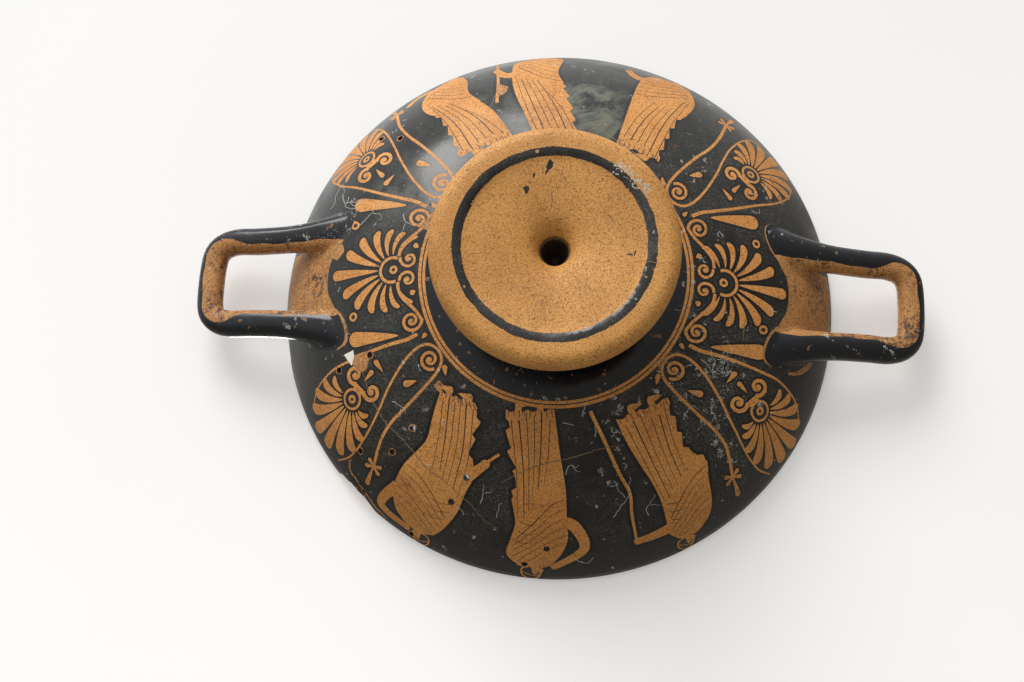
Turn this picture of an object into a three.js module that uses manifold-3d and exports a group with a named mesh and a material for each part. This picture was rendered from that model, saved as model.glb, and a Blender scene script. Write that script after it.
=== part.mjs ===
// Greek kylix: a wide, shallow drinking cup on a short stem and a disc foot, with two loop handles.
// It was thrown and fired as one piece, so the whole cup is one closed mesh.
// Millimetres, +Z up. The origin is the centre of the circle that the foot rests on; the handles lie along X.
import * as THREE from 'three';
import { mergeVertices } from 'three/addons/utils/BufferGeometryUtils.js';
import Module from 'manifold-3d';

// Driving dimensions
const cupHeight = 86;
const rimRadius = 120;
const rimWall = 3.4;
const floorWall = 5.2;
const floorHeight = 41;
const footRadius = 49.3;
const footEdge = 5.5; // radius of the foot's rounded edge
const restInner = 37; // the flat ring that the foot rests on runs from here to the rounded edge
const footHollow = 7; // height of the shallow cone under the foot
const stemHole = { mouth: 6, top: 2.6, height: 25 };
const stemRadius = 10.5; // at its narrow waist
const waistHeight = 22;
const handle = {
  reach: 150.5, // centre line of the bar
  rootReach: 82, // where the arms end, inside the wall
  rootFlare: 5.5, // how much further apart the arms are at their roots
  halfSpan: 18.6, // centre line of an arm
  rootHeight: 57,
  barHeight: 71.5,
  cornerRadius: 9.5,
  barWidth: 11,
  armWidth: 11.6,
  rootWidth: 20,
  depth: 10.6,
  rootDepth: 13.5,
};
const handleInset = 2; // the handles' ends stop this far inside the wall, short of the bowl's hollow
const rimChip = { angle: 313.5, depth: 5.5, length: 22 }; // degrees from +X, seen from above

const turnSegments = 60;
const handleSides = 12;
const handleSteps = 30;

const { Manifold, Mesh: SolidMesh } = await loadManifold();

async function loadManifold() {
  const wasm = await Module();
  wasm.setup();
  return wasm;
}

// ---- solids and meshes ----

function toSolid(geometry) {
  const bare = geometry.clone();
  bare.deleteAttribute('normal');
  bare.deleteAttribute('uv');
  const merged = mergeVertices(bare, 1e-4);
  const corners = merged.index.array;
  const kept = [];
  for (let i = 0; i < corners.length; i += 3) {
    const [a, b, c] = [corners[i], corners[i + 1], corners[i + 2]];
    if (a !== b && b !== c && c !== a) kept.push(a, b, c);
  }
  return new Manifold(new SolidMesh({
    numProp: 3,
    vertProperties: new Float32Array(merged.attributes.position.array),
    triVerts: new Uint32Array(kept),
  }));
}

function toGeometry(solid) {
  const mesh = solid.getMesh();
  const positions = new Float32Array(mesh.numVert * 3);
  for (let i = 0; i < mesh.numVert; i += 1) {
    positions.set(mesh.vertProperties.subarray(i * mesh.numProp, i * mesh.numProp + 3), i * 3);
  }
  const geometry = new THREE.BufferGeometry();
  geometry.setAttribute('position', new THREE.BufferAttribute(positions, 3));
  geometry.setIndex(new THREE.BufferAttribute(new Uint32Array(mesh.triVerts), 1));
  geometry.computeVertexNormals();
  return geometry;
}

// ---- turned profiles: points are (radius, height) ----

// The outside of the bowl, from the waist of the stem up to the rim
function outerCurve() {
  return new THREE.SplineCurve([
    new THREE.Vector2(stemRadius, waistHeight),
    new THREE.Vector2(13, 28),
    new THREE.Vector2(20, 32.2),
    new THREE.Vector2(35, 35.6),
    new THREE.Vector2(55.3, 38.6),
    new THREE.Vector2(75, 44.6),
    new THREE.Vector2(95, 55),
    new THREE.Vector2(108, 66),
    new THREE.Vector2(115.5, 76),
    new THREE.Vector2(rimRadius, cupHeight - rimWall / 2),
  ]);
}

// The inside follows the outside at the wall's thickness, and levels out over the stem.
// With an inset, the whole surface lies that much deeper in the clay.
function innerProfile(inset) {
  const outer = outerCurve();
  const wallStart = 0.47; // where the floor turns into the wall
  const steps = 10;
  const points = [
    new THREE.Vector2(0, floorHeight - inset),
    new THREE.Vector2(26, floorHeight + 0.7 - inset),
  ];
  for (let i = 0; i <= steps; i += 1) {
    const t = wallStart + ((1 - wallStart) * i) / steps;
    const along = outer.getTangent(t);
    const wall = THREE.MathUtils.lerp(floorWall, rimWall, i / steps) - inset;
    const inward = new THREE.Vector2(-along.y, along.x).multiplyScalar(wall);
    points.push(outer.getPoint(t).add(inward));
  }
  return points;
}

function arcPoints(centre, radius, fromDegrees, toDegrees, steps) {
  const points = [];
  for (let i = 0; i <= steps; i += 1) {
    const angle = THREE.MathUtils.degToRad(THREE.MathUtils.lerp(fromDegrees, toDegrees, i / steps));
    points.push(new THREE.Vector2(centre.x + radius * Math.cos(angle), centre.y + radius * Math.sin(angle)));
  }
  return points;
}

function footProfile() {
  const edgeCentre = new THREE.Vector2(footRadius - footEdge, footEdge);
  const edgeSteps = 6;
  const footTop = new THREE.SplineCurve([
    new THREE.Vector2(edgeCentre.x - 1, 2 * footEdge),
    new THREE.Vector2(32, 12.4),
    new THREE.Vector2(20, 14.6),
    new THREE.Vector2(13, 18),
    new THREE.Vector2(stemRadius, waistHeight),
  ]);
  return [
    new THREE.Vector2(0, stemHole.height),
    new THREE.Vector2(stemHole.top, stemHole.height - 1.5),
    new THREE.Vector2(stemHole.mouth, footHollow + 1),
    new THREE.Vector2(stemHole.mouth + 2, footHollow),
    new THREE.Vector2(restInner - 1.5, 0.9),
    new THREE.Vector2(restInner, 0),
    ...arcPoints(edgeCentre, footEdge, -90, 90, edgeSteps),
    ...footTop.getPoints(6).slice(0, -1),
  ];
}

function lathe(points) {
  return new THREE.LatheGeometry(points, turnSegments).rotateX(Math.PI / 2);
}

function cupBody() {
  const inner = innerProfile(0);
  const lipCentre = new THREE.Vector2(rimRadius - rimWall / 2, cupHeight - rimWall / 2);
  const lip = arcPoints(lipCentre, rimWall / 2, 30, 150, 4);
  return toSolid(lathe([
    ...footProfile(),
    ...outerCurve().getPoints(18),
    ...lip,
    ...inner.reverse(),
  ]));
}

// The inner part of the wall and the hollow inside it, which trims the handles where they join the bowl
function insideOfWall() {
  const above = cupHeight + 10;
  return toSolid(lathe([
    ...innerProfile(handleInset),
    new THREE.Vector2(rimRadius - handleInset, above),
    new THREE.Vector2(0, above),
  ]));
}

// ---- handles ----

// The arms lift away from the bowl to the bar; they flare apart only near their roots
function handlePath(side) {
  const h = handle;
  const armEnd = h.reach - h.cornerRadius;
  const rise = (x) => ((x - h.rootReach) / (h.reach - h.rootReach)) ** 1.2;
  const place = ([x, y]) => new THREE.Vector3(
    side * x,
    side * y,
    THREE.MathUtils.lerp(h.rootHeight, h.barHeight, rise(x)),
  );
  const armStations = 6;
  const stations = [];
  for (let i = 0; i <= armStations; i += 1) {
    const t = i / armStations;
    stations.push([THREE.MathUtils.lerp(h.rootReach, armEnd, t), h.halfSpan + h.rootFlare * (1 - t) ** 2.5]);
  }
  const cornerIn = h.cornerRadius * (1 - Math.SQRT1_2);
  stations.push([h.reach - cornerIn, h.halfSpan - cornerIn]);
  stations.push([h.reach, h.halfSpan - h.cornerRadius]);
  const mirrored = stations.map(([x, y]) => [x, -y]).reverse();
  return new THREE.CatmullRomCurve3([...stations, ...mirrored].map(place), false, 'centripetal');
}

// Width and depth of the handle's section, from its root (0) to the middle of the bar (1)
function handleSection(toBar) {
  const h = handle;
  const rootBlend = THREE.MathUtils.smoothstep(toBar, 0, 0.45);
  const barBlend = THREE.MathUtils.smoothstep(toBar, 0.55, 0.85);
  const armWidth = THREE.MathUtils.lerp(h.rootWidth, h.armWidth, rootBlend);
  const width = THREE.MathUtils.lerp(armWidth, h.barWidth, barBlend);
  const depth = THREE.MathUtils.lerp(h.rootDepth, h.depth, rootBlend);
  return { width, depth };
}

// A rounded section swept along the loop, with its flat side kept level
function handleSolid(side) {
  const path = handlePath(side);
  const up = new THREE.Vector3(0, 0, 1);
  const squareness = 0.82; // 1 is an ellipse, lower is squarer
  const positions = [];
  for (let i = 0; i <= handleSteps; i += 1) {
    const t = i / handleSteps;
    const centre = path.getPointAt(t);
    const along = path.getTangentAt(t);
    const across = new THREE.Vector3().crossVectors(up, along).normalize();
    const over = new THREE.Vector3().crossVectors(along, across).normalize();
    const { width, depth } = handleSection(1 - Math.abs(2 * t - 1));
    for (let k = 0; k < handleSides; k += 1) {
      const angle = (2 * Math.PI * k) / handleSides;
      const c = Math.sign(Math.cos(angle)) * Math.abs(Math.cos(angle)) ** squareness;
      const s = Math.sign(Math.sin(angle)) * Math.abs(Math.sin(angle)) ** squareness;
      const point = centre.clone();
      point.addScaledVector(across, (c * width) / 2);
      point.addScaledVector(over, (s * depth) / 2);
      positions.push(point.x, point.y, point.z);
    }
  }
  const corners = [];
  for (let i = 0; i < handleSteps; i += 1) {
    for (let k = 0; k < handleSides; k += 1) {
      const next = (k + 1) % handleSides;
      const a = i * handleSides + k;
      const b = i * handleSides + next;
      const c = a + handleSides;
      const d = b + handleSides;
      corners.push(a, b, c, b, d, c);
    }
  }
  const last = handleSteps * handleSides;
  for (let k = 1; k < handleSides - 1; k += 1) {
    corners.push(0, k + 1, k, last, last + k, last + k + 1);
  }
  const geometry = new THREE.BufferGeometry();
  geometry.setAttribute('position', new THREE.Float32BufferAttribute(positions, 3));
  geometry.setIndex(corners);
  return toSolid(geometry);
}

// ---- the chip broken out of the rim ----

function chipSolid() {
  const reachAcross = rimWall * 2.4; // wide enough to break right through the lip
  const angle = THREE.MathUtils.degToRad(rimChip.angle);
  const chip = new THREE.SphereGeometry(1, 14, 8);
  chip.scale(reachAcross, rimChip.length / 2, rimChip.depth);
  chip.rotateZ(angle);
  chip.translate(rimRadius * Math.cos(angle), rimRadius * Math.sin(angle), cupHeight);
  return toSolid(chip);
}

// ---- the cup ----

function kylixSolid() {
  const trim = insideOfWall();
  let cup = cupBody();
  for (const side of [1, -1]) {
    cup = cup.add(handleSolid(side).subtract(trim));
  }
  return cup.subtract(chipSolid());
}

const blackGloss = new THREE.MeshStandardMaterial({ color: '#26262a', roughness: 0.3, metalness: 0 });

const kylix = new THREE.Group();
const cup = new THREE.Mesh(toGeometry(kylixSolid()), blackGloss);
cup.name = 'kylix_cup';
kylix.add(cup);

export default kylix;
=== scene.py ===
import math

import bmesh
import bpy
import numpy as np
from mathutils import Matrix, Vector
from mathutils.geometry import delaunay_2d_cdt
from mathutils.kdtree import KDTree


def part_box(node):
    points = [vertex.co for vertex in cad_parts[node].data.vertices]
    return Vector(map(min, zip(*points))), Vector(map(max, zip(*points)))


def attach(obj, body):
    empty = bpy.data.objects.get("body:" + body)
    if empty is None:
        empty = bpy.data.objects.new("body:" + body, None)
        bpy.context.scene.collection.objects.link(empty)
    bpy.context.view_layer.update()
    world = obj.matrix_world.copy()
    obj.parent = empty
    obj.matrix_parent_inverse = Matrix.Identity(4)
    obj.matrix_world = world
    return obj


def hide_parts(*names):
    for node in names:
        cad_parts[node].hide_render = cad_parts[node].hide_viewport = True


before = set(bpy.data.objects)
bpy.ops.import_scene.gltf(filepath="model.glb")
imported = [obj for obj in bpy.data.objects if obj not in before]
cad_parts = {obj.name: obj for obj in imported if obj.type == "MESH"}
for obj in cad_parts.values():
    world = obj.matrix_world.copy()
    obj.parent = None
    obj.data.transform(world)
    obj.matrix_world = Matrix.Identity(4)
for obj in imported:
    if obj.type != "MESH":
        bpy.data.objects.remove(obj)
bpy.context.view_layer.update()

mm = 0.001
cupLow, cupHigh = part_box("kylix_cup")
rimRadius = cupHigh.y / mm
cupHeight = cupHigh.z / mm

# every surface colour is one paint, and each paint is one material on the cup
paints = ["slip", "contour", "clay", "footClay", "bareClay", "line", "crack", "plaster", "lime",
          "glossSlip", "innerSlip"]
(slip, contour, clay, footClay, bareClay, line,
 crack, plaster, lime, glossSlip, innerSlip) = range(len(paints))

turned = {
    "waistRadius": 10.5, "waistHeight": 22.0,
    "outer": [(13, 28), (20, 32.2), (35, 35.6), (55.3, 38.6), (75, 44.6), (95, 55), (108, 66),
              (115.5, 76)],
    "groundRadius": 55.3,        # the figures stand on a line drawn here
    "rimWall": 3.4, "floorWall": 5.2, "floorHeight": 41.0, "floorRise": [(0.0, 0.0), (12.0, 0.1),
                                                                         (26.0, 0.7)],
    "wallStart": 0.47,           # where the floor turns into the wall, as a part of the outer curve
    "footRadius": 49.3, "footEdge": 5.5, "footTop": [(13, 18), (20, 14.6), (32, 12.4)],
    "holeMouth": 6.0, "holeTop": 2.6, "holeHeight": 25.0,
}


# Smooth curve through points, as an array of (steps per gap) samples
def through(points, steps=12):
    p = np.asarray(points, float)
    p = np.vstack([p[:1], p, p[-1:]])
    t = np.linspace(0, 1, steps, endpoint=False)[:, None]
    out = []
    for a, b, c, d in zip(p[:-3], p[1:-2], p[2:-1], p[3:]):
        curve = 2 * b + (c - a) * t
        curve = curve + (2 * a - 5 * b + 4 * c - d) * t**2
        curve = curve + (3 * b - a - 3 * c + d) * t**3
        out.append(0.5 * curve)
    return np.vstack(out + [p[-1:]])


# Length run along a curve at each of its points, from the gaps between them
def runAlong(gaps):
    return np.r_[0, np.cumsum(gaps)]


waist = (turned["waistRadius"], turned["waistHeight"])
rimEnd = (rimRadius, cupHeight - turned["rimWall"] / 2)
outerCurve = through([waist] + turned["outer"] + [rimEnd], 240)
outerRun = runAlong(np.hypot(*np.diff(outerCurve, axis=0).T))
outerRun += turned["groundRadius"] - np.interp(turned["groundRadius"], outerCurve[:, 0], outerRun)
rimRun = outerRun[-1]            # length along the outside from the middle to the rim


# The columns of a table at one place or many
def valuesAt(place, run, table):
    return [np.interp(place, run, column) for column in table.T]


# Plan points (complex, seen from below, handles left and right) on a turned surface
def laidOn(plan, run, curve):
    turn = np.angle(plan)
    r, z = valuesAt(np.abs(plan), run, curve)
    return np.stack([-r * np.cos(turn), r * np.sin(turn), z], -1)


def onBowl(plan):
    return laidOn(plan, outerRun, outerCurve)


# The other way: points on the bowl to the plan
def toPlan(points):
    r = np.hypot(points[:, 0], points[:, 1])
    run = np.interp(r, outerCurve[:, 0], outerRun)
    return run * np.exp(1j * np.arctan2(points[:, 1], -points[:, 0]))


def innerCurve():
    start = int(len(outerCurve) * turned["wallStart"])
    picks = np.linspace(start, len(outerCurve) - 2, 24).astype(int)
    along = outerCurve[picks + 1] - outerCurve[picks - 1]
    along /= np.hypot(*along.T)[:, None]
    wall = np.linspace(turned["floorWall"], turned["rimWall"], len(picks))[:, None]
    side = outerCurve[picks] + np.stack([-along[:, 1], along[:, 0]], 1) * wall
    floor = [(run, turned["floorHeight"] + rise) for run, rise in turned["floorRise"]]
    return through(np.vstack([floor, side]), 3)


# The same curve with points an even gap apart
def spaced(curve, gap):
    curve = np.asarray(curve)
    run = runAlong(np.abs(np.diff(curve)))
    count = max(2, int(round(run[-1] / gap)) + 1)
    t = np.linspace(0, run[-1], count)
    return np.interp(t, run, curve.real) + 1j * np.interp(t, run, curve.imag)


def bend(points, gap=1.2):
    points = [complex(*p) if isinstance(p, tuple) else p for p in points]
    xy = through([(p.real, p.imag) for p in points], 10)
    return spaced(xy[:, 0] + 1j * xy[:, 1], gap)


# Outline of a brush stroke along a curve, with its ends as parts of the full width
def ribbon(curve, width, ends=(1.0, 1.0), swell=0.0):
    curve = np.asarray(curve)
    along = np.gradient(curve)
    along /= np.abs(along) + 1e-9
    t = np.linspace(0, 1, len(curve))
    half = width / 2 * (ends[0] + (ends[1] - ends[0]) * t + swell * np.sin(math.pi * t))
    left = curve + 1j * along * half
    right = curve - 1j * along * half
    return np.r_[left, right[::-1]]


def circle(sides, shift=0.0):
    return np.exp(2j * math.pi * (np.arange(sides) + shift) / sides)


def disc(centre, radius, sides=20):
    return centre + radius * circle(sides)


# The same outline drawn by an unsteady hand
def shaky(outline, by, wander):
    count = len(outline)
    return outline + by * (wander.standard_normal(count) + 1j * wander.standard_normal(count))


# A leaf or petal: narrow at its tail and round at its head
def drop(tail, head, width, steps=9):
    length = abs(head - tail)
    ahead = (head - tail) / length
    headPart = min(0.45, 0.5 * width / length)
    straight = 1 - headPart
    rounded = np.sin(np.linspace(0.25, 1, 5) * math.pi / 2)
    t = np.r_[np.linspace(0, straight, steps), straight + headPart * rounded]
    body = 0.06 + 0.94 * np.minimum(1, t / straight) ** 0.75
    cap = np.sqrt(np.clip(1 - (np.maximum(0, t - straight) / headPart) ** 2, 0, 1))
    half = width / 2 * body * cap
    middle = tail + ahead * length * t
    return np.r_[middle + 1j * ahead * half, (middle - 1j * ahead * half)[::-1]]


# Curve from the outer end of a volute to its eye; start in degrees
def spiral(centre, radius, start, turns, hand, width):
    count = int(14 * turns) + 2
    t = np.linspace(0, 1, count)
    r = radius * (1 - 0.84 * t)
    return centre + (r - width / 2) * np.exp(1j * (math.radians(start) + hand * 2 * math.pi * turns * t))


shapes = []                      # (paint, outline), later ones over earlier ones


def paint(colour, *outlines):
    shapes.extend((colour, np.asarray(o)) for o in outlines)


# The same outline, pushed out all round
def widened(outline, by):
    if (outline.real * np.roll(outline.imag, -1) - outline.imag * np.roll(outline.real, -1)).sum() < 0:
        outline = outline[::-1]
    along = np.roll(outline, -1) - np.roll(outline, 1)
    return outline - 1j * along / (np.abs(along) + 1e-9) * by


longestOutlined = 90             # the ornament's outlines with more corners than this have no stripe


# A stripe of thick dark slip under each clay shape, as the painter first drew it
def withContours(found, by=1.0):
    drawn = [outline for colour, outline in found if colour == clay and len(outline) < longestOutlined]
    return [(contour, widened(outline, by)) for outline in drawn] + found


def ring(centre, radius, width, sides=22):
    paint(clay, disc(centre, radius, sides))
    paint(slip, disc(centre, radius - width, sides))


handlePalmette = {
    "centre": -68.5 + 0j, "turns": [0, 20, 38, 57, 76, 95, 116],
    "lengths": [30, 25.5, 22.8, 20.2, 18.4, 17.2, 17.8], "widths": [4.9, 4.5, 4.3, 3.9, 3.3, 2.8, 2.7],
    "ring": 5.4, "ringWidth": 1.3, "eye": 1.9,
}
sidePalmette = {
    "centre": -86.2 - 54.6j, "facing": 226, "spread": 164,
    "lengths": [11, 14, 19, 24, 28.5, 31.5, 32, 28, 23.5, 18.8, 14.3],
    "widths": [3.1, 3.6, 4.3, 5.1, 5.8, 6.2, 6.2, 5.7, 5.0, 4.2, 3.4],
    "ring": 4.8, "ringWidth": 1.1, "eye": 1.9, "volute": 4.9, "voluteWidth": 1.5,
}
# how far the painter's hand strayed towards the rim in each quarter (right?, back?)
strays = {(False, False): 0j, (True, False): 3.9 + 2.7j, (True, True): -1.6 + 1.4j,
          (False, True): -4.6 + 5.2j}
tendrils = {
    "width": 1.6,
    "loop": [(-101, -83.5), (-92, -81), (-84, -75), (-77, -66.5), (-72, -58), (-68, -50), (-62, -40.5),
             (-56, -34),
             (-51, -32), (-46.5, -34), (-44.6, -38.5), (-46.5, -43.5), (-52, -50), (-59.5, -57.5),
             (-66, -63.5),
             (-71, -70), (-74.5, -77), (-77, -83)],
    "border": [(-55.5, -27.8), (-60, -30), (-67, -31.7), (-76, -34.3), (-86, -37.8), (-96, -41.5),
               (-104.5, -47), (-110, -53), (-113.5, -60)],
    "scroll": [(-65.4, -5.5), (-64.6, -9.5), (-61, -14), (-56.5, -18.2), (-53.7, -22)],
    "leaf": ((-64, -28.2), (-87.5, -29.3), 6.6),
    "drops": [((-70.6, -43.2), (-74.6, -38.3), 2.3), ((-55, -47), (-61, -48.6), 2.9),
              ((-53.5, -29.6), (-51.6, -27.4), 1.9),
              ((-42.6, -44.8), (-43.4, -40.4), 2.2), ((-57.4, -9.4), (-59.6, -10.8), 2.4),
              ((-79.6, -47), (-75.4, -42.6), 2.2)],
    "berry": (-86, -19.3),
    # small volutes: centre, radius, start in degrees, turns, inset and width of the stroke
    "curls": [((-49.6, -38.3), 5.0, -62, 1.75, 1.4, 1.35), ((-58.4, -22.2), 5.4, 8, 1.75, 1.4, 1.35),
              ((-61.2, -4.4), 4.5, 190, 1.45, 1.3, 1.25)],
    "bud": ((-77.6, -84.2), 236),
}


def asPoint(pair):
    return complex(*pair)


petalCurl = 15.0                 # degrees that the outermost petals' tips turn away from the middle


def petals(centre, turns, lengths, widths, inner, facing):
    for turn, length, width in zip(turns, lengths, widths):
        ahead = np.exp(1j * math.radians(turn))
        flat = drop(ahead * inner, ahead * length, width, 12)
        along = np.clip((np.abs(flat) - inner) / (length - inner), 0, 1)
        curl = petalCurl * math.sin(math.radians(turn - facing)) * (along**2 - 0.4)
        paint(clay, centre + flat * np.exp(1j * np.radians(curl)))


# Mirror a shape into another quarter of the bowl
def flip(outline, across, along):
    x = -outline.real if across else outline.real
    y = -outline.imag if along else outline.imag
    return x + 1j * y


# The ornament beside one root of a handle; the other three are its mirror images
def quarter():
    p = sidePalmette
    turns = np.linspace(-p["spread"] / 2, p["spread"] / 2, len(p["lengths"]))[::-1] + p["facing"]
    petals(p["centre"], turns, p["lengths"], p["widths"], p["ring"] + 0.9, p["facing"])
    ring(p["centre"], p["ring"], p["ringWidth"])
    ring(p["centre"], p["eye"], 1.1, 14)
    for hand, turn in ((-1, 80), (1, 16)):
        middle = p["centre"] + 10.6 * np.exp(1j * math.radians(turn))
        curl = spiral(middle, p["volute"], turn + 180 - hand * 20, 1.55, hand, p["voluteWidth"])
        paint(clay, ribbon(curl, p["voluteWidth"], (1.25, 0.75)), disc(curl[-1], 1.0, 10))
        stem = p["centre"] + p["ring"] * np.exp(1j * math.radians(turn + hand * 62))
        halfway = (stem + curl[0]) / 2 + (middle - p["centre"]) * 0.1
        paint(clay, ribbon(bend([stem, halfway, curl[1]]), 1.6, (0.7, 1.1)))
    t = tendrils
    paint(clay, ribbon(bend(t["loop"]), t["width"], (0.5, 0.9)))
    paint(clay, ribbon(bend(t["border"]), t["width"], (1.0, 0.4)))
    for centre, radius, start, rounds, inset, width in t["curls"]:
        curl = spiral(asPoint(centre), radius, start, rounds, -1, inset)
        paint(clay, ribbon(curl, width, (1.0, 0.8)), disc(curl[-1], 0.9, 10))
    paint(clay, ribbon(bend(t["scroll"]), 1.3))
    tail, head, width = t["leaf"]
    paint(clay, drop(asPoint(tail), asPoint(head), width, 16))
    for tail, head, width in t["drops"]:
        paint(clay, drop(asPoint(tail), asPoint(head), width, 5))
    ring(asPoint(t["berry"]), 2.0, 1.0, 14)
    centre, turn = t["bud"]
    bud(asPoint(centre), turn)


# A small open flower at the end of a stem, with a closed bud beyond it
def bud(centre, turn):
    for side, length, width in ((-118, 4.4, 2.0), (-62, 4.8, 2.1), (62, 4.8, 2.1), (118, 4.4, 2.0)):
        ahead = np.exp(1j * math.radians(turn + side))
        paint(clay, drop(centre, centre + ahead * length, width, 4))
    ahead = np.exp(1j * math.radians(turn))
    paint(clay, disc(centre, 1.4, 10), drop(centre, centre + ahead * 11.5, 2.7, 7))


# The palmette under one handle
def handleOrnament():
    p = handlePalmette
    for side in (1, -1):
        turns = [180 + side * turn for turn in p["turns"]]
        first = 0 if side == 1 else 1
        petals(p["centre"], turns[first:], p["lengths"][first:], p["widths"][first:], p["ring"] + 1.2,
               180)
    arch = p["centre"] + p["ring"] * np.exp(1j * np.radians(np.linspace(68, 292, 22)))
    paint(clay, ribbon(arch, p["ringWidth"]))
    ring(p["centre"] + 0.6, p["eye"], 1.1, 14)


def ornament():
    quarter()
    ownQuarter = list(shapes)
    shapes.clear()
    for across in (False, True):
        for along in (False, True):
            for colour, outline in ownQuarter:
                moved = flip(outline, across, along)
                outwards = np.clip((np.abs(moved) - 62) / 38, 0, 1)
                shapes.append((colour, moved + strays[across, along] * outwards))
    before = len(shapes)
    handleOrnament()
    shapes.extend([(colour, flip(outline, True, False) + 1.6) for colour, outline in shapes[before:]])
    shapes[:] = withContours(shapes)


groundLines = {"radii": [(53.7, 54.9), (55.4, 56.7)], "sides": 180}


def groundLine():
    around = circle(groundLines["sides"])
    (innerLow, innerHigh), (outerLow, outerHigh) = groundLines["radii"]
    paint(clay, around * outerHigh)
    paint(slip, around * outerLow)
    paint(clay, around * innerHigh)
    paint(glossSlip, around * innerLow)


# each figure stands from feet to crown; sides are (height from 0 to 1, left edge, right edge) in mm,
# and the cascade is the stepped edge of the cloak, on the left (-1) or right (1)
figures = [
    {"feet": (-36, -51), "crown": (-62, -124), "face": 1, "cascade": 1,
     "sides": [(0.03, -8, 7), (0.1, -8, 12), (0.2, -7.5, 12.5), (0.3, -7, 14), (0.37, -9, 17.5),
               (0.5, -14, 16),
               (0.64, -16, 15), (0.78, -14, 11), (0.86, -8, 7)],
     "arms": [[(-66, -92), (-78, -103), (-66, -114)], [(-38, -90), (-30, -84), (-25.5, -80.5)]],
     "staff": [(-31, -86), (-25, -80), (-19.5, -76)]},
    {"feet": (-8, -54), "crown": (-5, -138), "face": -1, "cascade": -1,
     "sides": [(0.04, -9.5, 10), (0.22, -9.5, 12), (0.36, -7, 14), (0.45, -8, 15), (0.6, -6.5, 15.5),
               (0.7, -9, 16),
               (0.8, -11.5, 13), (0.88, -7, 8)],
     "arms": [[(7, -104), (13, -106), (17.5, -117), (5, -128)]], "staff": None},
    {"feet": (36, -52), "crown": (69, -119), "face": -1, "cascade": 1,
     "sides": [(0.04, -11.5, 11.5), (0.18, -11, 12), (0.34, -9, 12.5), (0.43, -7.5, 18),
               (0.56, -6.5, 16.5),
               (0.7, -7, 15.5), (0.8, -7.5, 13), (0.87, -4, 8)],
     "arms": [[(57, -105), (48, -110), (41.5, -112.5)]],
     "staff": [(16.5, -57), (22, -67), (29.5, -81), (35, -90), (36.5, -98), (38.5, -105), (41, -113)]},
    {"feet": (31, 54), "crown": (60, 122), "face": -1, "cascade": -1,
     "sides": [(0.03, -10, 9.5), (0.2, -9.5, 11.5), (0.36, -9.5, 13.5), (0.6, -12, 16), (0.75, -9, 15),
               (0.86, -5, 9)],
     "arms": [[(40, 106), (33, 108), (30, 114)]], "staff": None},
    {"feet": (-3, 58), "crown": (-14, 138), "face": 1, "cascade": -1,
     "sides": [(0.04, -11, 8), (0.2, -10, 11), (0.4, -8.5, 15), (0.57, -5.5, 16), (0.78, -9.5, 14.5),
               (0.87, -6, 9)],
     "arms": [[(-24, 104), (-29, 104), (-33.5, 110)]], "staff": [(-30, 82), (-31, 96), (-33.5, 112),
                                                                 (-36, 124)]},
    {"feet": (-32, 54), "crown": (-62, 122), "face": 1, "cascade": 1,
     "sides": [(0.03, -13, 11.5), (0.26, -10.5, 12.5), (0.4, -7, 14), (0.54, -4, 18.5), (0.7, -6, 17),
               (0.85, -5, 9)],
     "arms": [[(-66, 104), (-74, 103), (-77, 95)]], "staff": None},
]
dress = {"pleats": 9, "step": 2.2, "foldWidth": 0.42, "broadFold": 0.66, "armWidth": 5.0, "stripe": 1.5}


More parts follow.
